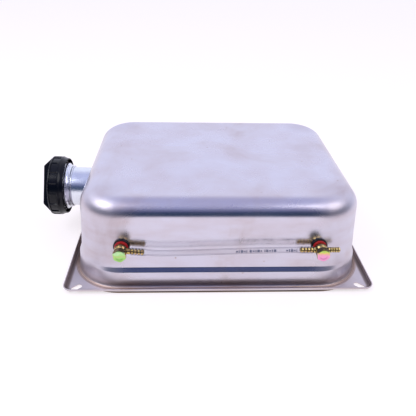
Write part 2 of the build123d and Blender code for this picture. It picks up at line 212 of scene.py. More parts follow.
def settle(piece, body, slot, material, *replaced):
    """Give a piece its finish, its body and the CAD nodes that it stands for."""
    kept = [face.material_index for face in piece.data.polygons]
    piece.data.materials.clear()
    piece.data.materials.append(material)
    piece.data.polygons.foreach_set("material_index", kept)
    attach(piece, body)
    if replaced:
        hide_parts(*replaced)
    return piece


def finish_node(name, material):
    """Give a CAD node a finish; its shape stays as it is."""
    mesh = NODES[name].data
    mesh.materials.clear()
    mesh.materials.append(material)


# ---- finishes ----------------------------------------------------------------------------------


def add_node(tree, kind, inputs=None, stops=None, **settings):
    """Add a shader node. Inputs map a socket to a value or an output; stops are a ramp's colours."""
    made = tree.nodes.new(kind)
    for name, value in settings.items():
        setattr(made, name, value)
    for socket, value in (inputs or {}).items():
        if isinstance(value, bpy.types.NodeSocket):
            tree.links.new(value, made.inputs[socket])
        else:
            made.inputs[socket].default_value = value
    if stops:
        elements = made.color_ramp.elements
        while len(elements) < len(stops):
            elements.new(0.5)
        for element, (position, colour) in zip(elements, stops):
            element.position = position
            element.color = (*linear(colour), 1.0)
    return made


def cells(size_mm):
    """Texture scale at which one cell of the pattern measures that many millimetres."""
    return 1 / (size_mm * MM)


def new_finish(name):
    """Empty material and the object's coordinates, which are metres."""
    material = bpy.data.materials.new(name)
    material.use_nodes = True
    tree = material.node_tree
    tree.nodes.clear()
    place = add_node(tree, "ShaderNodeTexCoord").outputs["Object"]
    return material, tree, place


def from_rectangle(tree, place, corner):
    """Metres out from the rectangle with that corner, and metres into the space past its corner."""
    parts = add_node(tree, "ShaderNodeSeparateXYZ", {"Vector": place})
    sides = []
    for axis, half in (("X", corner.x), ("Y", corner.y)):
        size = add_node(tree, "ShaderNodeMath", {0: parts.outputs[axis]}, operation="ABSOLUTE")
        past = add_node(tree, "ShaderNodeMath", {0: size.outputs[0], 1: half * MM}, operation="SUBTRACT")
        kept = add_node(tree, "ShaderNodeMath", {0: past.outputs[0], 1: 0.0}, operation="MAXIMUM")
        sides.append(kept.outputs[0])
    flat = add_node(tree, "ShaderNodeCombineXYZ", {"X": sides[0], "Y": sides[1]})
    length = add_node(tree, "ShaderNodeVectorMath", {0: flat.outputs[0]}, operation="LENGTH")
    nearer = add_node(tree, "ShaderNodeMath", {0: sides[0], 1: sides[1]}, operation="MINIMUM")
    return length.outputs["Value"], nearer.outputs[0]


def drawn_stainless(name, colour, roughness=0.19):
    """304 stainless sheet, deep drawn: soft reflections, blurred more where the sheet was worked most."""
    material, tree, place = new_finish(name)
    height = add_node(tree, "ShaderNodeSeparateXYZ", {"Vector": place}).outputs["Z"]
    away, _ = from_rectangle(tree, place, CORNER)
    _, into_corner = from_rectangle(tree, place, CORNER - Vector((16, 16)))
    edge, _ = from_rectangle(tree, place, SHELL_HIGH - Vector((FLANGE_R, FLANGE_R, 0)))
    handled = add_node(tree, "ShaderNodeTexNoise", {
        "Vector": place, "Scale": cells(71.4), "Detail": 5.0, "Roughness": 0.62, "Distortion": 0.6,
    }).outputs["Fac"]
    streak = add_node(tree, "ShaderNodeMapping", {
        "Vector": place, "Scale": (cells(41.7), cells(41.7), cells(11.1)),
    })
    wiped = add_node(tree, "ShaderNodeTexNoise", {"Vector": streak.outputs[0], "Scale": 1.0, "Detail": 4.0})
    spots = add_node(tree, "ShaderNodeTexVoronoi", {
        "Vector": place, "Scale": cells(18.2), "Randomness": 1.0,
    })
    # painted shade: mask that warms and darkens the colour towards the foot
    foot = add_node(tree, "ShaderNodeMapRange", {
        "Value": height, "From Min": 3 * MM, "From Max": 15 * MM,
    }, interpolation_type="SMOOTHSTEP")
    ring = add_node(tree, "ShaderNodeMapRange", {"Value": away, "From Min": 50 * MM, "From Max": 60 * MM})
    uneven = add_node(tree, "ShaderNodeTexNoise", {"Vector": place, "Scale": cells(16.7), "Detail": 3.0})
    shift = add_node(tree, "ShaderNodeMapRange", {
        "Value": uneven.outputs["Fac"], "To Min": -0.05, "To Max": 0.05,
    })
    heat = add_node(tree, "ShaderNodeMath", {0: ring.outputs[0], 1: shift.outputs[0]}, operation="ADD")
    flange = add_node(tree, "ShaderNodeMapRange", {
        "Value": height, "From Min": 6 * MM, "From Max": 4 * MM,
    })
    # painted shade: mask across the lip's bend, darkened in the list below
    lip_shade = add_node(tree, "ShaderNodeMapRange", {
        "Value": edge, "From Min": (FLANGE_R - LIP_WIDTH - 1) * MM, "From Max": FLANGE_R * MM,
    })
    # each stain or painted shade: how strong it is, what it follows, and its colours
    stains_and_shade = [
        # straw smudges left by hands
        (1.0, handled, [(0.40, "FFFFFF"), (0.54, "FEFCFA"), (0.62, "FAF6F2"), (0.74, "F1E8E2")]),
        # long flat wiping marks
        (1.0, wiped.outputs["Fac"], [(0.40, "FFFFFF"), (0.62, "FAF6F4"), (0.8, "F2EBE7")]),
        # dried specks
        (1.0, spots.outputs["Distance"], [
            (0.0, "C9B6A8"), (0.045, "EFE6E0"), (0.07, "FFFFFF"), (1.0, "FFFFFF"),
        ]),
        # warm tint towards the foot: painted shade, standing in for the darker reflections in the concave
        # foot
        (1.0, foot.outputs[0], [(0.0, "FFFAF2"), (0.25, "FFF6EA"), (1.0, "FFFFFF")]),
        # brown heat lines of the seam weld, on the flange round the foot
        (flange.outputs[0], heat.outputs[0], [
            (0.0, "FFFAF4"), (0.10, "F2E8DC"), (0.17, "B09078"), (0.22, "F0E4D8"), (0.28, "947660"),
            (0.34, "F4EAE0"), (0.41, "BEA694"), (0.47, "FFFAF6"), (0.6, "FFFFFF"),
        ]),
        # painted shade in the lip's bend, where the lip's inner slope lies in shadow
        (1.0, lip_shade.outputs[0], [
            (0.0, "FFFFFF"), (0.15, "D8D0CC"), (0.3, "A79F98"), (0.65, "8E8680"), (0.8, "DAD5D0"),
            (0.92, "FFFFFF"), (1.0, "FFFFFF"),
        ]),
    ]
    tone = (*colour, 1.0)
    for strength, followed, stops in stains_and_shade:
        ramp = add_node(tree, "ShaderNodeValToRGB", {"Fac": followed}, stops)
        tone = add_node(tree, "ShaderNodeMix", {
            "Factor": strength, "A": tone, "B": ramp.outputs["Color"],
        }, data_type="RGBA", blend_type="MULTIPLY").outputs["Result"]

    # each wear: what it follows, from, to, and the roughness that it adds at either end
    wears = [
        (handled, 0.35, 0.7, roughness - 0.02, roughness + 0.05),
        # etched foot
        (height, 18 * MM, 7 * MM, 0.0, 0.14),
        # stretched top edge
        (height, 83 * MM, 93 * MM, 0.0, 0.08),
        # middle of the walls, rubbed by the die
        (height, 28 * MM, 42 * MM, 0.0, 0.04),
        (height, 68 * MM, 78 * MM, 0.0, -0.04),
    ]
    grained = add_node(tree, "ShaderNodeMapRange", {
        "Value": into_corner, "From Min": 0.0, "From Max": 26 * MM, "To Max": 0.14,
    }, interpolation_type="SMOOTHSTEP").outputs[0]
    for followed, start, end, first, last in wears:
        wear = add_node(tree, "ShaderNodeMapRange", {
            "Value": followed, "From Min": start, "From Max": end, "To Min": first, "To Max": last,
        })
        total = add_node(tree, "ShaderNodeMath", {0: grained, 1: wear.outputs[0]}, operation="ADD")
        grained = total.outputs[0]
    # orange peel, drawn at a millimetre so that it shows
    peel = add_node(tree, "ShaderNodeTexNoise", {"Vector": place, "Scale": cells(1.11), "Detail": 2.0})
    bump = add_node(tree, "ShaderNodeBump", {
        "Strength": 0.03, "Distance": 0.2 * MM, "Height": peel.outputs["Fac"],
    })
    shader = add_node(tree, "ShaderNodeBsdfPrincipled", {
        "Base Color": tone, "Metallic": 1.0, "Roughness": grained, "Normal": bump.outputs[0],
    })
    add_node(tree, "ShaderNodeOutputMaterial", {"Surface": shader.outputs[0]})
    return material


def even_finish(name, colour, roughness, grain_mm, grain, metallic=0.0, ior=1.5, gloss=0.5):
    """Finish with one colour, slightly uneven, and a fine grain of the given size and strength."""
    material, tree, place = new_finish(name)
    patch = add_node(tree, "ShaderNodeTexNoise", {"Vector": place, "Scale": cells(16.7), "Detail": 3.0})
    fine = add_node(tree, "ShaderNodeTexNoise", {"Vector": place, "Scale": cells(grain_mm), "Detail": 3.0})
    darker = [part * 0.86 for part in colour]
    lighter = [min(1.0, part * 1.14) for part in colour]
    tone = add_node(tree, "ShaderNodeMix", {
        "Factor": patch.outputs["Fac"], "A": (*darker, 1.0), "B": (*lighter, 1.0),
    }, data_type="RGBA")
    rough = add_node(tree, "ShaderNodeMapRange", {
        "Value": patch.outputs["Fac"], "To Min": roughness - 0.06, "To Max": roughness + 0.06,
    })
    bump = add_node(tree, "ShaderNodeBump", {
        "Strength": grain, "Distance": 0.1 * MM, "Height": fine.outputs["Fac"],
    })
    shader = add_node(tree, "ShaderNodeBsdfPrincipled", {
        "Base Color": tone.outputs["Result"], "Metallic": metallic, "Roughness": rough.outputs[0],
        "Normal": bump.outputs[0], "IOR": ior, "Specular IOR Level": gloss,
    })
    add_node(tree, "ShaderNodeOutputMaterial", {"Surface": shader.outputs[0]})
    return material


def yellow_zinc(name):
    """Zinc plate, yellow passivated: gold that drifts to olive and pink, with painted shade in its hollows.
    """
    material, tree, place = new_finish(name)
    drift = add_node(tree, "ShaderNodeTexNoise", {
        "Vector": place, "Scale": cells(3.85), "Detail": 3.0, "Distortion": 0.4,
    })
    spread = add_node(tree, "ShaderNodeMapRange", {
        "Value": drift.outputs["Fac"], "From Min": 0.3, "From Max": 0.7,
    })
    film = add_node(tree, "ShaderNodeValToRGB", {"Fac": spread.outputs[0]}, [
        (0.0, "B8964A"), (1 / 3, "DCC588"), (2 / 3, "A88A44"), (1.0, "DDB89A"),
    ])
    # painted shade: ambient occlusion darkens the colour in hollows, such as the grooves between barb teeth
    hollow = add_node(tree, "ShaderNodeAmbientOcclusion", {"Distance": 1.1 * MM}, samples=8, only_local=True)
    depth = add_node(tree, "ShaderNodeValToRGB", {"Fac": hollow.outputs["AO"]}, [
        (0.4, "1C1408"), (0.65, "7C6440"), (0.88, "FFFFFF"), (1.0, "FFFFFF"),
    ])
    tone = add_node(tree, "ShaderNodeMix", {
        "Factor": 1.0, "A": film.outputs["Color"], "B": depth.outputs["Color"],
    }, data_type="RGBA", blend_type="MULTIPLY")
    grain = add_node(tree, "ShaderNodeTexNoise", {"Vector": place, "Scale": cells(0.4), "Detail": 2.0})
    bump = add_node(tree, "ShaderNodeBump", {
        "Strength": 0.12, "Distance": 0.1 * MM, "Height": grain.outputs["Fac"],
    })
    rough = add_node(tree, "ShaderNodeMapRange", {
        "Value": grain.outputs["Fac"], "To Min": 0.09, "To Max": 0.22,
    })
    shader = add_node(tree, "ShaderNodeBsdfPrincipled", {
        "Base Color": tone.outputs["Result"], "Metallic": 1.0, "Roughness": rough.outputs[0],
        "Normal": bump.outputs[0],
    })
    add_node(tree, "ShaderNodeOutputMaterial", {"Surface": shader.outputs[0]})
    return material


def face_film(name, stops, place):
    """Chromate film on a turned bolt face: its colour changes with its thickness from foot to top."""
    material, tree, where = new_finish(name)
    centre = (place @ Vector((0, 0, HEAD_END))).z
    height = add_node(tree, "ShaderNodeSeparateXYZ", {"Vector": where}).outputs["Z"]
    up = add_node(tree, "ShaderNodeMapRange", {
        "Value": height, "From Min": centre - 6 * MM, "From Max": centre + 6 * MM,
    })
    drift = add_node(tree, "ShaderNodeTexNoise", {"Vector": where, "Scale": cells(3.85), "Detail": 3.0})
    shift = add_node(tree, "ShaderNodeMapRange", {
        "Value": drift.outputs["Fac"], "To Min": -0.25, "To Max": 0.25,
    })
    thickness = add_node(tree, "ShaderNodeMath", {0: up.outputs[0], 1: shift.outputs[0]}, operation="ADD")
    film = add_node(tree, "ShaderNodeValToRGB", {"Fac": thickness.outputs[0]}, stops)
    rough = add_node(tree, "ShaderNodeMapRange", {
        "Value": drift.outputs["Fac"], "To Min": 0.25, "To Max": 0.4,
    })
    shader = add_node(tree, "ShaderNodeBsdfPrincipled", {
        "Base Color": film.outputs["Color"], "Metallic": 1.0, "Roughness": rough.outputs[0],
    })
    add_node(tree, "ShaderNodeOutputMaterial", {"Surface": shader.outputs[0]})
    return material


def clear_vinyl(name):
    """Plasticised PVC, extruded thin: clear to look straight through, grey along its two edges."""
    material, tree, place = new_finish(name)
    haze = add_node(tree, "ShaderNodeTexNoise", {"Vector": place, "Scale": cells(8.33), "Detail": 2.0})
    rough = add_node(tree, "ShaderNodeMapRange", {
        "Value": haze.outputs["Fac"], "To Min": 0.03, "To Max": 0.1,
    })
    facing = add_node(tree, "ShaderNodeLayerWeight", {"Blend": 0.5})
    solid = add_node(tree, "ShaderNodeMapRange", {
        "Value": facing.outputs["Facing"], "From Min": 0.4, "From Max": 0.85, "To Min": 0.04, "To Max": 0.9,
    })
    shader = add_node(tree, "ShaderNodeBsdfPrincipled", {
        "Base Color": (*linear("646879"), 1.0), "Roughness": rough.outputs[0], "Alpha": solid.outputs[0],
        "IOR": 1.53,
    })
    add_node(tree, "ShaderNodeOutputMaterial", {"Surface": shader.outputs[0]})
    return material


# ---- places taken from the frame ---------------------------------------------------------------

NECK_AXIS = Vector(CAP_JOINT["axis"]).normalized()
CAP_PIVOT = Vector(CAP_JOINT["pos_m"]) / MM
PIVOT_STATION = 45.0     # the cap joint's pivot, along the neck from the end wall
NECK = plane_at(CAP_PIVOT - NECK_AXIS * PIVOT_STATION, (0, -1, 0), NECK_AXIS)
NECK_TILT = math.asin(NECK_AXIS.z)
DRAFT = radians(4.0)     # how far the tank's walls lean in

# stations of a fitting's stack, out from the wall
SIDES = ("left", "right")
RUBBER_T = 2.0
FIBRE_END = 3.3
EYE_END = 12.9
HEAD_START = 14.1
HEAD_END = 19.2
ARM_STATION = (FIBRE_END + EYE_END) / 2

# the pan's own sizes: its box gives the flange and the height
SHELL_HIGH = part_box("tank_shell")[1] / MM
TANK_H = SHELL_HIGH.z
CORNER = Vector((SHELL_HIGH.x - 59.0, SHELL_HIGH.y - 58.0))    # axis of a rounded corner
SHEET_T = 1.0
WALL_R = 42.0            # wall's distance from that axis at WALL_Z
WALL_Z = 78.0
TOP_FILLET = 20.0
SHOULDER_TOP = 25.0
SHOULDER_BOTTOM = 20.4
SHOULDER_STEP = 2.75
FLANGE_TOP = 2 * SHEET_T
FLANGE_START = 54.0
FLANGE_R = 9.0
LIP_TOP = 6.0
LIP_WIDTH = 5.5          # how far in the lip's slope starts, where there is room


def fitting_place(side):
    """Plane on the front wall at a banjo bolt's axis, from the rubber washer's box."""
    low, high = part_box("rubber_washer_" + side)
    centre = (low + high) / 2 / MM
    out = Vector((0, -cos(DRAFT), sin(DRAFT)))
    return plane_at(centre - out * RUBBER_T / 2, (1, 0, 0), out)


def arm_place(side, turn):
    """Plane on the bolt's axis whose Z runs along a barb turned by that angle."""
    up_to_arm = Matrix.Translation((0, 0, ARM_STATION))
    base = fitting_place(side) @ up_to_arm @ Matrix.Rotation(radians(turn), 4, "Z")
    return base @ Matrix.Rotation(pi / 2, 4, "Y")


def wall_distance(z):
    """Distance of the drafted wall from the corner axes at a height."""
    return WALL_R + math.tan(DRAFT) * (WALL_Z - z)


# ---- the drawn pan -----------------------------------------------------------------------------


def arc_path(points, radii, steps):
    """Open path with each inner corner rounded by an arc of its own radius and number of steps."""
    path = [Vector(points[0])]
    for before, corner, after, radius, count in zip(points, points[1:], points[2:], radii, steps):
        corner = Vector(corner)
        back = (Vector(before) - corner).normalized()
        ahead = (Vector(after) - corner).normalized()
        half = back.angle(ahead) / 2
        centre = corner + (back + ahead).normalized() * radius / sin(half)
        start = corner + back * radius / math.tan(half) - centre
        end = corner + ahead * radius / math.tan(half) - centre
        first = math.atan2(start.y, start.x)
        turn = (math.atan2(end.y, end.x) - first + pi) % (2 * pi) - pi
        for k in range(count + 1):
            angle = first + turn * k / count
            path.append(centre + Vector((cos(angle), sin(angle))) * radius)
    path.append(Vector(points[-1]))
    return path


def supported(path, gap, longest):
    """The path with extra points close to both ends of its long straight runs, and along them."""
    full = [path[0]]
    for start, end in zip(path, path[1:]):
        run = (end - start).length
        if run > 3 * gap:
            inner = run - 2 * gap
            pieces = max(1, math.ceil(inner / longest))
            way = (end - start) / run
            full += [start + way * (gap + inner * k / pieces) for k in range(pieces + 1)]
        full.append(end)
    return full


def smooth_step(value):
    """0 below 0, 1 above 1, and an easy curve between."""
    t = max(0.0, min(1.0, value))
    return t * t * (3 - 2 * t)


def pan_columns():
    """Columns round the pan: a base point, an outward way, and how far it is into a corner (0 to 1)."""
    columns = []
    per_corner = 48
    quarters = [(1, 1), (-1, 1), (-1, -1), (1, -1)]
    for corner, (sx, sy) in enumerate(quarters):
        base = Vector((CORNER.x * sx, CORNER.y * sy))
        for k in range(per_corner + 1):
            s = 2 * k / per_corner - 1
            inside = radians(45 + 45 * (0.6 * s + 0.4 * s ** 3))
            angle = corner * pi / 2 + inside
            edge = min(inside, pi / 2 - inside)
            fade = smooth_step((edge + radians(6)) / radians(52))
            columns.append((base, Vector((cos(angle), sin(angle))), fade))
        sx, sy = quarters[(corner + 1) % 4]
        after = Vector((CORNER.x * sx, CORNER.y * sy))
        count = 12 if corner % 2 == 0 else 8
        angle = (corner + 1) * pi / 2
        for k in range(1, count):
            columns.append((base.lerp(after, k / count), Vector((cos(angle), sin(angle))), 0.0))
    return columns


def reach(way, inset):
    """Distance from a corner axis along a way to the flange's outline moved inwards."""
    ex = SHELL_HIGH.x - CORNER.x - inset
    ey = SHELL_HIGH.y - CORNER.y - inset
    r = FLANGE_R - inset
    u = Vector((abs(way.x), abs(way.y)))
    if u.x > 1e-6 and ex / u.x * u.y <= ey - r:
        return ex / u.x
    if u.y > 1e-6 and ey / u.y * u.x <= ex - r:
        return ey / u.y
    centre = Vector((ex - r, ey - r))
    along = u.dot(centre)
    return along + math.sqrt(max(0.0, along ** 2 - centre.length_squared + r ** 2))


def pan_side():
    """Half section: (distance from the corner axes, height) from the middle of the top to the flange."""
    foot = wall_distance(FLANGE_TOP) + SHOULDER_STEP
    corners = [
        (0, TANK_H), (wall_distance(TANK_H), TANK_H), (wall_distance(SHOULDER_TOP), SHOULDER_TOP),
        (wall_distance(SHOULDER_BOTTOM) + SHOULDER_STEP, SHOULDER_BOTTOM), (foot, FLANGE_TOP),
        (FLANGE_START, FLANGE_TOP),
    ]
    side = arc_path(corners, radii=[TOP_FILLET, 3.0, 2.2, 4.0], steps=[20, 8, 6, 8])
    return supported(side, gap=0.35, longest=4.0)


def pan_surface():
    """Vertices and faces of the pan's upper side, from the middle of its top out to the lip's edge."""
    columns = pan_columns()
    foot_end = FLANGE_TOP + 4.0
    lean_start = 64.0    # in the corners the wall leans out from here down, in place of the shoulder
    rows = []
    for point in pan_side():
        row = []
        for base, way, fade in columns:
            distance = point.x
            if foot_end < point.y < TANK_H - TOP_FILLET:
                fall = max(0.0, (lean_start - point.y) / (lean_start - foot_end))
                eased = wall_distance(point.y) + SHOULDER_STEP * fall ** 1.5
                distance = distance + (eased - distance) * fade
            flat = base + way * distance
            row.append((flat.x, flat.y, point.y))
        rows.append(row)

    lip_height = LIP_TOP - FLANGE_TOP
    lip_widths = [min(LIP_WIDTH, reach(way, SHEET_T) - FLANGE_START - 0.3) for _, way, _ in columns]
    for share in (0.3, 0.65, 0.94):
        row = []
        for (base, way, _), width in zip(columns, lip_widths):
            distance = FLANGE_START + (reach(way, SHEET_T + width) - FLANGE_START) * share
            flat = base + way * distance
            row.append((flat.x, flat.y, FLANGE_TOP))
        rows.append(row)
    for angle in (radians(10 * k) for k in range(10)):
        row = []
        for (base, way, _), width in zip(columns, lip_widths):
            flat = base + way * reach(way, SHEET_T + width * (1 - sin(angle)))
            row.append((flat.x, flat.y, FLANGE_TOP + lip_height * (1 - cos(angle))))
        rows.append(row)

    broad_wave, broad_depth = 48.0, 0.10
    short_wave, short_depth = 17.0, 0.02
    vertices = []
    for row in rows:
        for x, y, z in row:
            at = Vector((x, y, z))
            dent = noise.noise(at / broad_wave) * broad_depth + noise.noise(at / short_wave) * short_depth
            calm = min(1.0, z / 30)
            vertices.append(at + Vector((x, y, (z - 30) * 2)).normalized() * dent * calm)
    count = len(columns)
    faces = []
    for j in range(len(rows) - 1):
        for k in range(count):
            n = (k + 1) % count
            faces.append((j * count + k, (j + 1) * count + k, (j + 1) * count + n, j * count + n))
    faces.append(tuple(range(count)))
    return vertices, faces


def slot_cutter(x, y, angle, length=12.0, width=6.4):
    """Block in the shape of a corner slot."""
    r = width / 2
    outline = []
    for end, first in ((1, 0), (-1, 1)):
        for k in range(first, 17):
            around = pi * (k - first) / 16 - end * pi / 2
            outline.append((end * (length / 2 - r) + r * cos(around), r * sin(around)))
    turn = Matrix.Rotation(radians(angle), 2)
    ring = [turn @ Vector(p) + Vector((x, y)) for p in outline]
    count = len(ring)
    vertices = [(p.x, p.y, z) for z in (-1.0, 5.0) for p in ring]
    faces = [(k, (k + 1) % count, count + (k + 1) % count, count + k) for k in range(count)]
    faces += [tuple(range(count)), tuple(range(count, 2 * count))]
    return mesh_piece("slot", vertices, faces, Matrix.Scale(MM, 4))


def hole_cutter(name, place, radius, depth, steps):
    """Round block that cuts a hole through a wall at a place."""
    outline = [(0, -depth), (radius, -depth), (radius, depth), (0, depth)]
    return turned_piece(name, outline, place, steps, 0)


def drawn_pan(name, thickness):
    """The pan: its upper side thickened to the sheet, with the neck's, fittings' and slots' holes cut."""
    pan = mesh_piece(name, *pan_surface(), Matrix.Scale(MM, 4))
    top = max(pan.data.polygons, key=lambda face: face.center.z)
    if top.normal.z < 0:
        pan.data.flip_normals()
    sheet = pan.modifiers.new("sheet", "SOLIDIFY")
    sheet.thickness = thickness
    sheet.offset = -1
    sheet.use_even_offset = True
    cutters = [hole_cutter("neck_hole", NECK, 23.1, 8, 128)]
    cutters += [hole_cutter("bolt_hole", fitting_place(side), 4.4, 4, 48) for side in SIDES]
    cutters += [slot_cutter(149.3 * sx, 124.0 * sy, 42 * sx * sy) for sx in (-1, 1) for sy in (-1, 1)]
    for cutter in cutters:
        combine(pan, cutter, "DIFFERENCE")
    return sharpen(pan, 38.0)


# ---- neck, welds and cap -----------------------------------------------------------------------

LEAD = 12.0              # how far the cap rises in one turn
STARTS = 2
NECK_R = 23.0
NECK_BORE_R = 20.0
GASKET_R = 27.3
GASKET_BORE_R = 19.0
GASKET_STATIONS = (42.5, 44.9)
BORE_R = 27.9            # cap's bore
CAP_R = 34.8
GRIP_START = 36.0
GRIP_END = 44.7
BAR_TURN = 27.0


def ridge(station, angle, span, radii, lead, starts, width, phase=0.0):
    """Radius of a helical ridge at a station and angle, fading in and out at the ends of its span."""
    start, end = span
    root, crest = radii
    pitch = lead / starts
    along = (station - lead * angle / (2 * pi) - phase) % pitch
    off_crest = min(along, pitch - along)
    flank = max(0.0, min(1.0, 1.6 - 2 * off_crest / width))
    fade = max(0.0, min(1.0, (station - start) / 1.5, (end - station) / 1.5))
    return root + (crest - root) * flank * fade


def neck_collar(place, lead):
    """Screw collar: a rolled bead, a flared shoulder, a stop ring, then the thread."""
    bore = NECK_R + 0.02
    root = 25.4
    crest = 26.9
    outline = [
        (bore, 21.6), (23.9, 21.8), (24.5, 22.3), (24.7, 22.9), (24.5, 23.5), (24.0, 23.9), (23.9, 24.4),
    ]
    outline += [(24.1 + 3.0 * (k / 8) ** 0.8, 24.4 + 3.9 * k / 8) for k in range(1, 9)]
    outline += [(27.2, 28.4), (27.2, 30.1), (26.9, 30.3), (root, 30.8)]
    outline += [(root, 31.0 + 0.4 * k) for k in range(26)]
    outline += [(root, 41.4), (24.8, 42.0), (bore, 42.0)]

    def shape(radius, station, angle):
        if 24.4 < station < 28.2 and radius > 24:
            run_out = 0.45
            return radius - run_out + ridge(station, angle, (24.0, 29.0), (0, run_out), lead, 4, 1.1)
        if abs(radius - root) < 0.01 and 30.9 < station < 41.3:
            return ridge(station, angle, (30.9, 41.3), (root, crest), lead, STARTS, 2.6)
        return radius

    return mesh_piece("filler_collar", *turned_solid(outline, 160, shape), place)


def filler_neck(place):
    """Neck tube with a rolled mouth."""
    outline = [
        (NECK_R, -4.0), (NECK_R, 41.6), (22.2, 42.2), (20.8, 42.2), (NECK_BORE_R, 41.4), (NECK_BORE_R, -4.0),
    ]
    return turned_piece("filler_tube", outline, place, 128, 0.5)


def bead_ring(name, place, slope, radius=23.8, station=0.2, size=1.5, ripples=58):
    """Weld bead round a tube on a wall that slopes across it: ripples, each a little proud of the last."""
    section = 10
    per_ripple = 6
    steps = ripples * per_ripple
    buried = -1.1
    vertices = []
    for k in range(steps):
        angle = 2 * pi * k / steps
        ripple = ((k % per_ripple) / per_ripple) ** 1.5
        swell = size * (1 + 0.10 * ripple + 0.05 * sin(angle * 7 + 1))
        for j in range(section):
            turn = 2 * pi * j / section
            r = radius + swell * cos(turn)
            z = station + slope * r * sin(angle) + max(buried, swell * sin(turn))
            vertices.append((r * cos(angle), r * sin(angle), z))
    faces = []
    for k in range(steps):
        here = k * section
        after = (k + 1) % steps * section
        for j in range(section):
            n = (j + 1) % section
            faces.append((here + j, here + n, after + n, after + j))
    return mesh_piece(name, vertices, faces, place, 60.0)


def cap_body(place, ribs, rib_depth, lead):
    """Moulded screw cap: ribbed grip band, flared skirt round a threaded sleeve, and a grip bar."""
    sleeve = [(BORE_R, 32.0), (28.6, 31.6), (29.4, 32.0), (29.4, 40.0), (31.6, 40.0), (31.9, 30.0)]
    skirt = [
        (32.0, 29.2), (32.4, 29.0), (32.8, 29.3), (33.1, 30.0), (33.2, 31.0), (33.4, 32.0), (33.7, 33.0),
        (34.1, 33.8), (34.5, 34.5), (34.7, 34.9),
    ]
    band = [(CAP_R, z) for z in (35.2, 36.0, 36.3, 36.7, 40.0, 44.2, 44.5, 44.7, 45.5)]
    end = [
        (34.65, 45.9), (34.3, 46.2), (33.6, 46.4), (30.0, 47.0), (22.0, 48.2), (12.0, 48.3), (0, 48.3),
        (0, 45.2), (12.0, 45.2), (27.0, 45.2), (BORE_R, 44.6),
    ]
    bore = [(BORE_R, 44.4 - 0.4 * k) for k in range(31)]
    rib_half = 0.75 / CAP_R
    first_rib = radians(100)
    sector = 2 * pi / ribs

    def shape(radius, station, angle):
        if radius == CAP_R and GRIP_START < station < GRIP_END:
            from_rib = abs((angle - first_rib + sector / 2) % sector - sector / 2)
            panel = max(0.0, min(1.0, (from_rib - rib_half) / 0.012))
            depth = min(1.0, (station - GRIP_START) / 0.6, (GRIP_END - station) / 0.4)
            return radius - rib_depth * panel * depth
        if radius == BORE_R and 32.4 < station < 44.0:
            return ridge(station, angle, (32.4, 44.0), (BORE_R, 26.2), lead, STARTS, 2.4, 3.0)
        return radius

    outline = sleeve + skirt + band + end + bore
    body = mesh_piece("screw_cap", *turned_solid(outline, 384, shape), place)
    combine(body, grip_bar(place), "UNION")
    turn = place @ Matrix.Rotation(radians(BAR_TURN), 4, "Z")
    for side in (-1, 1):
        hole = [(0, 44.0), (0.8, 44.0), (0.8, 50.0), (0, 50.0)]
        vent = turned_piece("vent", hole, turn @ Matrix.Translation((7.5 * side, 0, 0)), 24, 0)
        combine(body, vent, "DIFFERENCE")
    socket = turned_piece("socket", [(0, 44.0), (2.0, 44.0), (2.0, 51.2), (0, 51.2)], place, 32, 0)
    combine(body, socket, "DIFFERENCE")
    return sharpen(body, 35.0)


def grip_bar(place):
    """Bar across the cap's end: sloping ends that reach the rim, drafted sides and eased edges."""
    foot = 46.1
    top = 57.9
    ends = [(-34.3, foot), (-22.6, top), (22.6, top), (34.3, foot)]
    half = {foot: 5.9, top: 5.2}
    vertices = [(side * half[z], y, z) for y, z in ends for side in (-1, 1)]
    faces = [(0, 2, 4, 6), (7, 5, 3, 1), (0, 1, 3, 2), (2, 3, 5, 4), (4, 5, 7, 6), (6, 7, 1, 0)]
    bar = mesh_piece("bar", vertices, faces)
    work = bmesh.new()
    work.from_mesh(bar.data)
    upper = [edge for edge in work.edges if max(v.co.z for v in edge.verts) > foot + 1]
    bmesh.ops.bevel(work, geom=upper, offset=0.9, segments=4, profile=0.5, affect="EDGES")
    work.to_mesh(bar.data)
    work.free()
    bar.data.transform(place @ Matrix.Rotation(radians(BAR_TURN), 4, "Z"))
    return bar


def vent_valve(place):
    """Rubber mushroom that lets air in through the cap: a thin disc on a stem."""
    outline = [(0, 44.2), (8.6, 44.35), (9.5, 44.6), (9.5, 45.2), (2.0, 45.2), (2.0, 51.2), (0, 51.2)]
    return turned_piece("vent_mushroom", outline, place, 72, 0.2)


# ---- fittings and level tube -------------------------------------------------------------------

# each barb: its turn about the bolt, tip, first tooth, number of teeth and crest radius
BARBS = {
    "left": [(-5.0, 23.3, 10.6, 4, 3.1)],
    "right": [(180.0, 21.5, 8.8, 4, 2.8), (0.0, 19.2, 6.8, 5, 2.8)],
}
HEAD_TURN = 8.0


def washer(name, place, radius, stations, ease, bore=4.25):
    """Flat ring with eased edges."""
    start, end = stations
    outline = [(bore, start), (radius, start), (radius, end), (bore, end)]
    return turned_piece(name, outline, place, 96, ease)


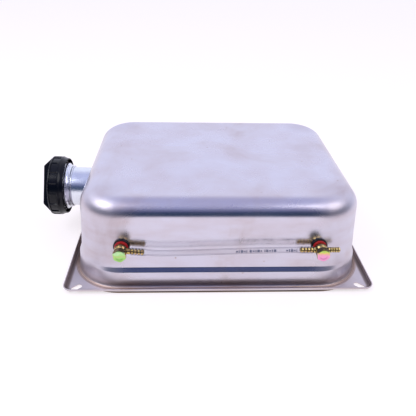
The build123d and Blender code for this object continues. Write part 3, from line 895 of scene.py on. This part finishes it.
def hex_bolt(name, place):
    """Hollow hexagon bolt: chamfered head with a shallow dish, waisted shank and rolled thread."""
    half_flats = 6.0
    face_r = 5.7
    chamfer = math.tan(radians(27))
    foot_r, rim_r = 6.5, 6.6     # stand for the hexagon until its corners are worked out
    outline = [(1.75, -9.0), (3.6, -9.0)]
    outline += [(3.65 + 0.33 * (k % 2), -8.7 + 0.625 * k) for k in range(23)]
    outline += [(3.2, 5.6), (3.2, 10.6), (3.95, 11.0), (3.95, HEAD_START)]
    outline += [(5.9, HEAD_START), (foot_r, HEAD_START), (rim_r, HEAD_END - 1.0)]
    outline += [(face_r, HEAD_END), (4.1, HEAD_END), (3.7, HEAD_END - 0.25), (0, HEAD_END - 0.3)]
    outline += [(0, 9.6), (1.75, 9.6)]

    vertices, faces = turned_solid(outline, 192)
    head = []
    for x, y, z in vertices:
        r = math.hypot(x, y)
        if min(abs(r - foot_r), abs(r - rim_r)) < 1e-4:
            angle = math.atan2(y, x)
            within = (angle - radians(HEAD_TURN) + pi / 6) % (pi / 3) - pi / 6
            corner = half_flats / cos(within)
            if abs(r - rim_r) < 1e-4:
                z = HEAD_END - (corner - face_r) * chamfer
            x, y = corner * cos(angle), corner * sin(angle)
        head.append((x, y, z))
    bolt = mesh_piece(name, head, faces, place, 22.0)
    inward = place.inverted()
    for face in bolt.data.polygons:
        face.material_index = 1 if (inward @ face.center).z > HEAD_END - 0.45 else 0
    return bolt


def barb_outline(tip, first, count, crest):
    """Outline of a hose barb: a plain stem, a waist, then teeth with wide crests."""
    stem = 2.8
    bead = 3.1
    root = 1.8
    pitch = (tip - first) / count
    outline = [
        (0, 0), (stem, 0), (stem, 4.6), (bead, 5.1), (bead, first - 1.0), (2.3, first - 0.5), (2.1, first),
    ]
    for tooth in range(count):
        start = first + tooth * pitch
        outline += [(crest - 0.15, start + 0.12), (crest, start + 0.35 * pitch)]
        outline += [(crest - 0.1, start + 0.62 * pitch), (root, start + 0.86 * pitch), (root, start + pitch)]
    return outline + [(0, tip + 0.05)]


def banjo(name, side, place):
    """Banjo fitting: forged eye with flat sealing faces, barbs, and its bores."""
    half = EYE_END - ARM_STATION
    belly = []
    for k in range(-9, 10):
        around = pi / 2 * k / 9
        belly.append((5.35 + 1.15 * cos(around), ARM_STATION + half * k / 9))
    piece = turned_piece(name, [(0, FIBRE_END), *belly, (0, EYE_END)], place, 96, 0)
    for turn, *barb in BARBS[side]:
        arm = turned_piece("arm", barb_outline(*barb), arm_place(side, turn), 64, 0.16)
        combine(piece, arm, "UNION")
    for turn, tip, *_ in BARBS[side]:
        bore = [(0, 0.2), (1.3, 0.2), (1.3, tip + 1), (0, tip + 1)]
        combine(piece, turned_piece("bore", bore, arm_place(side, turn), 32, 0), "DIFFERENCE")
    eye_bore = [(0, 2.0), (4.35, 2.0), (4.35, 14.0), (0, 14.0)]
    combine(piece, turned_piece("eye_bore", eye_bore, place, 64, 0), "DIFFERENCE")
    return sharpen(piece, 28.0)


def tube_line():
    """Centre line of the level tube: (point, which barb it is on, distance along that barb)."""
    steps = 48
    straight = 10.0      # how far the tube runs on straight past each barb's tip
    ends = {}
    for side in SIDES:
        turn, tip, first, _, _ = BARBS[side][0]
        place = arm_place(side, turn)
        start = first - 0.5
        ends[side] = []
        for k in range(steps + 1):
            along = start + (tip + straight - start) * k / steps
            ends[side].append((place @ Vector((0, 0, along)), side, along))
    left = ends["left"]
    right = ends["right"][::-1]
    start = left[-1][0]
    finish = right[0][0]
    start_way = (start - left[0][0]).normalized()
    finish_way = (right[-1][0] - finish).normalized()
    pull = (finish - start).length * 0.33
    after_start = start + start_way * pull * 0.35
    before_finish = finish - finish_way * pull
    free = []
    for k in range(1, steps):
        t = k / steps
        u = 1 - t
        point = start * u ** 3 + after_start * 3 * t * u * u + before_finish * 3 * t * t * u + finish * t ** 3
        free.append((point, "free", 0.0))
    return left + free + right


def tube_radii(side, along, bore, outside):
    """Inner and outer radius of the level tube: wider over a barb, with a ripple over its teeth."""
    if side == "free":
        return bore, outside
    _, tip, first, count, crest = BARBS[side][0]
    pitch = (tip - first) / count
    over = max(0.0, min(1.0, (tip + 3.0 - along) / 3.5))
    height = 0.16
    ripple = height * cos(2 * pi * (along - first - 0.4) / pitch) if along < tip - 0.5 else 0.0
    inner = bore + (crest - 0.25 - bore) * over
    outer = outside + (crest + 0.78 - outside) * over + (ripple - height) * over
    return inner, outer


def sight_tube(name, line, bore, outside):
    """Level tube: stretched over the barbs at both ends, with an easy curve between them."""
    steps = 40
    count = len(line)
    vertices = []
    for layer in (0, 1):
        for i, (centre, side, along) in enumerate(line):
            ahead = line[min(i + 1, count - 1)][0] - line[max(i - 1, 0)][0]
            ahead.normalize()
            across = Vector((0, 1, 0)) - ahead * ahead.y
            across.normalize()
            upward = ahead.cross(across)
            r = tube_radii(side, along, bore, outside)[layer] * MM
            for k in range(steps):
                a = 2 * pi * k / steps
                vertices.append(centre + across * (r * cos(a)) + upward * (r * sin(a)))
    outer_start = count * steps
    faces = []
    for k in range(steps):
        n = (k + 1) % steps
        for layer_start in (0, outer_start):
            for row in range(layer_start, layer_start + (count - 1) * steps, steps):
                faces.append((row + k, row + n, row + steps + n, row + steps + k))
        for row in (0, (count - 1) * steps):
            faces.append((row + k, row + n, outer_start + row + n, outer_start + row + k))
    return mesh_piece(name, vertices, faces)


def point_at(line, x):
    """Point of the tube's centre line at a distance along X."""
    for (start, _, _), (end, _, _) in zip(line, line[1:]):
        if start.x <= x <= end.x:
            return start.lerp(end, (x - start.x) / (end.x - start.x))
    raise ValueError("the tube does not reach there")


def tube_marks(name, line, first, last, outside):
    """Row of short generic dashes printed along the tube, on the side that faces out and up."""
    lengths = (1.9, 1.1, 2.6, 1.4, 0.9, 2.2)
    gap = 0.8
    pieces = 4
    radius = (outside + 0.03) * MM
    vertices = []
    faces = []
    x = first
    index = 0
    while x < last:
        length = lengths[index % len(lengths)]
        spread = 13 if index % 3 else 7.8
        for piece in range(pieces):
            start = len(vertices)
            for along in (x + length * piece / pieces, x + length * (piece + 1) / pieces):
                centre = point_at(line, along * MM)
                for k in range(-2, 3):
                    a = radians(205 + k * spread)
                    vertices.append(centre + Vector((0, cos(a), -sin(a))) * radius)
            faces += [(start + k, start + k + 1, start + k + 6, start + k + 5) for k in range(4)]
        x += length + gap * (3 if index % 5 == 4 else 1)
        index += 1
    return mesh_piece(name, vertices, faces)


# ---- sizes and colours that a user would change ------------------------------------------------


class TankSizes(bpy.types.PropertyGroup):
    """Sizes of the pieces that are made here."""

    sheet: bpy.props.FloatProperty(
        name="Sheet", description="Thickness of the drawn sheet", default=SHEET_T * MM, min=0.4 * MM,
        unit="LENGTH", precision=4,
    )
    lead: bpy.props.FloatProperty(
        name="Thread lead", description="How far the cap rises in one turn", default=LEAD * MM, min=2 * MM,
        unit="LENGTH", precision=4,
    )
    ribs: bpy.props.IntProperty(name="Ribs", description="Number of ribs round the cap", default=16, min=4)
    rib_depth: bpy.props.FloatProperty(
        name="Rib depth", description="How deep the panels between the ribs are", default=1.1 * MM, min=0,
        unit="LENGTH", precision=4,
    )
    tube_bore: bpy.props.FloatProperty(
        name="Tube bore", description="Inside diameter of the level tube", default=4 * MM, min=MM,
        unit="LENGTH", precision=4,
    )
    tube_outside: bpy.props.FloatProperty(
        name="Tube outside", description="Outside diameter of the level tube", default=6 * MM, min=MM,
        unit="LENGTH", precision=4,
    )


class TankColours(bpy.types.PropertyGroup):
    """Colours of the finishes."""

    steel: bpy.props.FloatVectorProperty(
        name="Steel", description="Colour of the drawn sheet", default=linear("CECBD8"), subtype="COLOR",
    )
    back: bpy.props.FloatVectorProperty(
        name="Back sheet", description="Colour of the closing sheet", default=linear("CFCDD2"),
        subtype="COLOR",
    )
    cap: bpy.props.FloatVectorProperty(
        name="Cap", description="Colour of the moulded cap", default=linear("090C14"), subtype="COLOR",
    )
    fibre: bpy.props.FloatVectorProperty(
        name="Fibre washers", description="Colour of the fibre washers", default=linear("C4202C"),
        subtype="COLOR",
    )


class TankStudio(bpy.types.PropertyGroup):
    """Light levels and the lens of the studio."""

    box_power: bpy.props.FloatProperty(
        name="Soft boxes", description="Power that both soft boxes share out", default=10.0, min=0,
        unit="POWER",
    )
    floor_level: bpy.props.FloatProperty(
        name="Floor", description="How pale the floor is", default=0.42, min=0, max=1, subtype="FACTOR",
    )
    floor_glow: bpy.props.FloatProperty(
        name="Floor glow", description="Light that the floor gives", default=0.7, min=0, max=2,
    )
    lens: bpy.props.FloatProperty(
        name="Lens", description="Focal length of the camera", default=40.27, min=10, unit="CAMERA",
    )


# ---- operators ---------------------------------------------------------------------------------


class TANK_OT_shell(bpy.types.Operator):
    """Make the drawn shell and finish the closing sheet and the bosses behind the wall"""

    bl_idname = "tank.shell"
    bl_label = "Shell and closing sheet"

    def execute(self, context):
        colours = context.scene.tank_colours
        drawn = drawn_stainless("drawn stainless steel", colours.steel)
        pan = drawn_pan("drawn_pan", context.scene.tank_sizes.sheet)
        settle(pan, "root", "stainless", drawn, "tank_shell")
        # mill finish: duller than the drawn sheet, with a blurred grey sheen
        back = drawn_stainless("mill finish stainless sheet", colours.back, 0.32)
        for name in ("closing_sheet", "boss_left", "boss_right"):
            finish_node(name, back)
        return {"FINISHED"}


class TANK_OT_welds(bpy.types.Operator):
    """Make the neck's weld bead and finish the others"""

    bl_idname = "tank.welds"
    bl_label = "Weld beads"

    def execute(self, context):
        # TIG bead: brown-grey from its heat, with a fine scaly grain
        weld = even_finish("TIG weld bead in stainless", linear("8A7A6C"), 0.34, 0.4, 0.3, metallic=1.0)
        for name in ("seam_weld", "boss_weld_left", "boss_weld_right"):
            finish_node(name, weld)
        bead = bead_ring("neck_bead", NECK, slope=-math.tan(DRAFT - NECK_TILT))
        settle(bead, "root", "weld", weld, "neck_weld")
        return {"FINISHED"}


class TANK_OT_neck(bpy.types.Operator):
    """Make the filler neck and its screw collar"""

    bl_idname = "tank.neck"
    bl_label = "Filler neck"

    def execute(self, context):
        # bright zinc plate on turned steel: bluish white, a little rippled, so its glints break up
        bright = even_finish("bright zinc plated steel", linear("DFE3EC"), 0.26, 1.6, 0.6, metallic=1.0)
        settle(filler_neck(NECK), "root", "neck_metal", bright, "filler_neck")
        collar = neck_collar(NECK, context.scene.tank_sizes.lead / MM)
        settle(collar, "root", "neck_metal", bright, "neck_collar")
        return {"FINISHED"}


class TANK_OT_cap(bpy.types.Operator):
    """Make the screw cap with its gasket and vent valve"""

    bl_idname = "tank.cap"
    bl_label = "Screw cap"

    def execute(self, context):
        sizes = context.scene.tank_sizes
        # moulded polypropylene: blue-black with low soft highlights on its edges
        moulded = even_finish(
            "moulded black polypropylene", context.scene.tank_colours.cap, 0.21, 0.35, 0.15,
            ior=1.49, gloss=0.25,
        )
        body = cap_body(NECK, sizes.ribs, sizes.rib_depth / MM, sizes.lead / MM)
        settle(body, "cap", "cap_plastic", moulded, "cap_body")
        # nitrile rubber: dull black with a powdery sheen
        rubber = even_finish("black nitrile rubber", linear("101013"), 0.55, 0.2, 0.2, ior=1.52)
        settle(vent_valve(NECK), "cap", "rubber", rubber, "cap_vent_valve")
        ring = washer("sealing_ring", NECK, GASKET_R, GASKET_STATIONS, 0.3, GASKET_BORE_R)
        settle(ring, "cap_seal", "rubber", rubber, "cap_gasket")
        return {"FINISHED"}


class TANK_OT_fittings(bpy.types.Operator):
    """Make both banjo fittings with their bolts and washers"""

    bl_idname = "tank.fittings"
    bl_label = "Banjo fittings"

    def execute(self, context):
        # moulded rubber: black, with a soft edge highlight
        rubber = even_finish("moulded rubber washer", linear("0D0D10"), 0.42, 0.2, 0.2, ior=1.52)
        # vulcanised fibre: red, with a waxy sheen and a paper grain
        red = context.scene.tank_colours.fibre
        fibre = even_finish("vulcanised red fibre", red, 0.42, 0.25, 0.3, ior=1.55)
        # bonded seal: dull dark grey, painted shade so that it reads as the shadowed gap under the head
        seal = even_finish("bonded seal, painted as the shaded gap under the head", linear("17171A"), 0.5, 0.2, 0.2, ior=1.52)
        gold = yellow_zinc("yellow zinc plate")
        films = {
            "left": [
                (0.0, "98CC6C"), (0.35, "A6D87C"), (0.46, "C4C488"), (0.55, "A8DA7E"), (0.75, "C2E8B0"),
                (1.0, "9CCC74"),
            ],
            "right": [
                (0.0, "EC9CC4"), (0.5, "EEA4C8"), (0.62, "E6B49A"), (0.74, "DCD468"), (0.86, "A6D872"),
                (1.0, "D2C65C"),
            ],
        }
        for side in SIDES:
            place = fitting_place(side)
            ring = washer("wall_washer_" + side, place, 8.3, (0, RUBBER_T), 0.4)
            settle(ring, "root", "rubber", rubber, "rubber_washer_" + side)
            ring = washer("red_washer_" + side, place, 6.9, (RUBBER_T, FIBRE_END), 0.15)
            settle(ring, "root", "red_fibre", fibre, "fibre_washer_" + side)
            eye = banjo("banjo_eye_" + side, side, place)
            settle(eye, "root", "yellow_zinc", gold, "banjo_" + side)
            ring = washer("head_washer_" + side, place, 6.3, (EYE_END, HEAD_START), 0.15)
            settle(ring, "root", "dark_washer", seal, "outer_washer_" + side)
            bolt = hex_bolt("hollow_bolt_" + side, place)
            settle(bolt, "root", "yellow_zinc_bolt", gold, "banjo_bolt_" + side)
            bolt.data.materials.append(face_film("chromate film, " + side, films[side], place))
        return {"FINISHED"}


class TANK_OT_tube(bpy.types.Operator):
    """Make the clear level tube and the marks printed on it"""

    bl_idname = "tank.tube"
    bl_label = "Level tube"

    def execute(self, context):
        sizes = context.scene.tank_sizes
        bore = sizes.tube_bore / 2 / MM
        outside = sizes.tube_outside / 2 / MM
        line = tube_line()
        vinyl = clear_vinyl("clear plasticised PVC")
        settle(sight_tube("level_tube", line, bore, outside), "root", "clear_pvc", vinyl, "sight_tube")
        # printing ink: faded dark grey, flat
        ink = even_finish("dark marking ink", linear("707082"), 0.6, 0.2, 0.1)
        for name, first, last in (("tube_marks_long", 14.0, 53.0), ("tube_marks_short", 64.0, 75.0)):
            settle(tube_marks(name, line, first, last, outside), "root", "clear_pvc", ink)
        return {"FINISHED"}


class TANK_OT_stage(bpy.types.Operator):
    """Set the floor, the lights and the camera"""

    bl_idname = "tank.stage"
    bl_label = "Studio"

    def execute(self, context):
        studio = context.scene.tank_studio
        make_floor(studio.floor_level, studio.floor_glow)
        make_world()
        soft_box("soft_box_left", -64, 47, 0.95, studio.box_power * 0.85)
        soft_box("soft_box_right", 57, 45, 0.9, studio.box_power * 0.55)
        make_camera(studio.lens)
        context.scene.view_settings.view_transform = "Standard"
        return {"FINISHED"}


# ---- studio ------------------------------------------------------------------------------------


def make_floor(level, glow):
    """Plain pale floor just under the tank, lit a little from beneath."""
    half = 2.4
    mesh = bpy.data.meshes.new("floor")
    corners = [(-half, -half, 0), (half, -half, 0), (half, half, 0), (-half, half, 0)]
    mesh.from_pydata(corners, [], [(0, 1, 2, 3)])
    floor = bpy.data.objects.new("floor", mesh)
    bpy.context.scene.collection.objects.link(floor)
    floor.location.z = CAD_BOX[0].z - 0.0002
    # matt paper: no shine, a faint warm white
    material, tree, _ = new_finish("matt white paper")
    shader = add_node(tree, "ShaderNodeBsdfPrincipled", {
        "Base Color": (level, level * 0.95, level * 0.96, 1.0), "Roughness": 0.9, "Specular IOR Level": 0.1,
        "Emission Color": (1.0, 0.95, 0.96, 1.0), "Emission Strength": glow,
    })
    add_node(tree, "ShaderNodeOutputMaterial", {"Surface": shader.outputs[0]})
    mesh.materials.append(material)


def make_world():
    """White to the eye; in reflections a pale room that is dark at the horizon in front of the tank."""
    world = bpy.data.worlds.new("studio room")
    bpy.context.scene.world = world
    world.use_nodes = True
    tree = world.node_tree
    tree.nodes.clear()
    way = add_node(tree, "ShaderNodeTexCoord").outputs["Generated"]
    parts = add_node(tree, "ShaderNodeSeparateXYZ", {"Vector": way})
    height = add_node(tree, "ShaderNodeMapRange", {
        "Value": parts.outputs["Z"], "From Min": -1.0, "From Max": 1.0,
    })
    front = add_node(tree, "ShaderNodeValToRGB", {"Fac": height.outputs[0]}, [
        (0.40, "C9C0CC"), (0.47, "A8A2B4"), (0.52, "465672"), (0.57, "203750"), (0.65, "1C344F"),
        (0.74, "414B72"), (0.82, "7A7FA4"), (0.90, "9FA4C8"), (1.0, "ACB0D4"),
    ])
    back = add_node(tree, "ShaderNodeValToRGB", {"Fac": height.outputs[0]}, [
        (0.40, "E6E4EE"), (0.60, "DEE0F4"), (0.75, "E3E6F8"), (0.86, "E2E4F4"), (0.94, "C0C2DC"),
        (1.0, "ACB0D4"),
    ])
    side = add_node(tree, "ShaderNodeMapRange", {
        "Value": parts.outputs["Y"], "From Min": -0.25, "From Max": 0.45,
    })
    room = add_node(tree, "ShaderNodeMix", {
        "Factor": side.outputs[0], "A": front.outputs["Color"], "B": back.outputs["Color"],
    }, data_type="RGBA")
    path = add_node(tree, "ShaderNodeLightPath")
    seen = add_node(tree, "ShaderNodeMix", {
        "Factor": path.outputs["Is Camera Ray"], "A": room.outputs["Result"], "B": (1.2, 1.2, 1.2, 1.0),
    }, data_type="RGBA")
    light = add_node(tree, "ShaderNodeBackground", {"Color": seen.outputs["Result"], "Strength": 1.35})
    add_node(tree, "ShaderNodeOutputWorld", {"Surface": light.outputs[0]})


def soft_box(name, azimuth, elevation, width, power):
    """Soft box aimed at the tank; azimuth 0 is the camera's side, and positive is to its right."""
    around = radians(azimuth)
    above = radians(elevation)
    way = Vector((sin(around) * cos(above), -cos(around) * cos(above), sin(above)))
    light = bpy.data.lights.new(name, "AREA")
    light.shape = "RECTANGLE"
    light.size = width
    light.size_y = 0.7
    light.energy = power
    lamp = bpy.data.objects.new(name, light)
    bpy.context.scene.collection.objects.link(lamp)
    tank_middle = Vector((0, 0, 0.06))
    lamp.location = tank_middle + way * 1.5
    lamp.rotation_euler = way.to_track_quat("Z", "Y").to_euler()


def make_camera(lens):
    """Camera in front of the tank, a little left of its centre, looking down on it."""
    camera = bpy.data.objects.new("camera", bpy.data.cameras.new("camera"))
    bpy.context.scene.collection.objects.link(camera)
    forward = Vector((0.0457, 0.8534, -0.5193)).normalized()
    right = Vector((0.99896, -0.03888, 0.02403))
    right = (right - forward * right.dot(forward)).normalized()
    up = right.cross(forward)
    turn = Matrix((right, up, -forward)).transposed().to_4x4()
    camera.matrix_world = Matrix.Translation((-0.03486, -0.4991, 0.32693)) @ turn
    camera.data.lens = lens
    camera.data.sensor_width = 36.0
    camera.data.clip_start = 0.01
    bpy.context.scene.camera = camera


# ---- add-on ------------------------------------------------------------------------------------


class VIEW3D_PT_tank(bpy.types.Panel):
    """Sidebar panel with the sizes, the colours and every step of the tank"""

    bl_label = "Water Tank"
    bl_space_type = "VIEW_3D"
    bl_region_type = "UI"
    bl_category = "Tank"

    def draw(self, context):
        scene = context.scene
        for group in (scene.tank_sizes, scene.tank_colours, scene.tank_studio):
            for name in group.__annotations__:
                self.layout.prop(group, name)
        for step in STEPS:
            self.layout.operator(step.bl_idname)


STEPS = (
    TANK_OT_stage, TANK_OT_shell, TANK_OT_welds, TANK_OT_neck, TANK_OT_cap, TANK_OT_fittings, TANK_OT_tube,
)
CLASSES = (TankSizes, TankColours, TankStudio, *STEPS, VIEW3D_PT_tank)


def register():
    for made in CLASSES:
        bpy.utils.register_class(made)
    bpy.types.Scene.tank_sizes = bpy.props.PointerProperty(type=TankSizes)
    bpy.types.Scene.tank_colours = bpy.props.PointerProperty(type=TankColours)
    bpy.types.Scene.tank_studio = bpy.props.PointerProperty(type=TankStudio)


def unregister():
    del bpy.types.Scene.tank_studio
    del bpy.types.Scene.tank_colours
    del bpy.types.Scene.tank_sizes
    for made in reversed(CLASSES):
        bpy.utils.unregister_class(made)


def main():
    register()
    bpy.ops.tank.stage()
    bpy.ops.tank.shell()
    bpy.ops.tank.welds()
    bpy.ops.tank.neck()
    bpy.ops.tank.cap()
    bpy.ops.tank.fittings()
    bpy.ops.tank.tube()


if __name__ == "__main__":
    main()
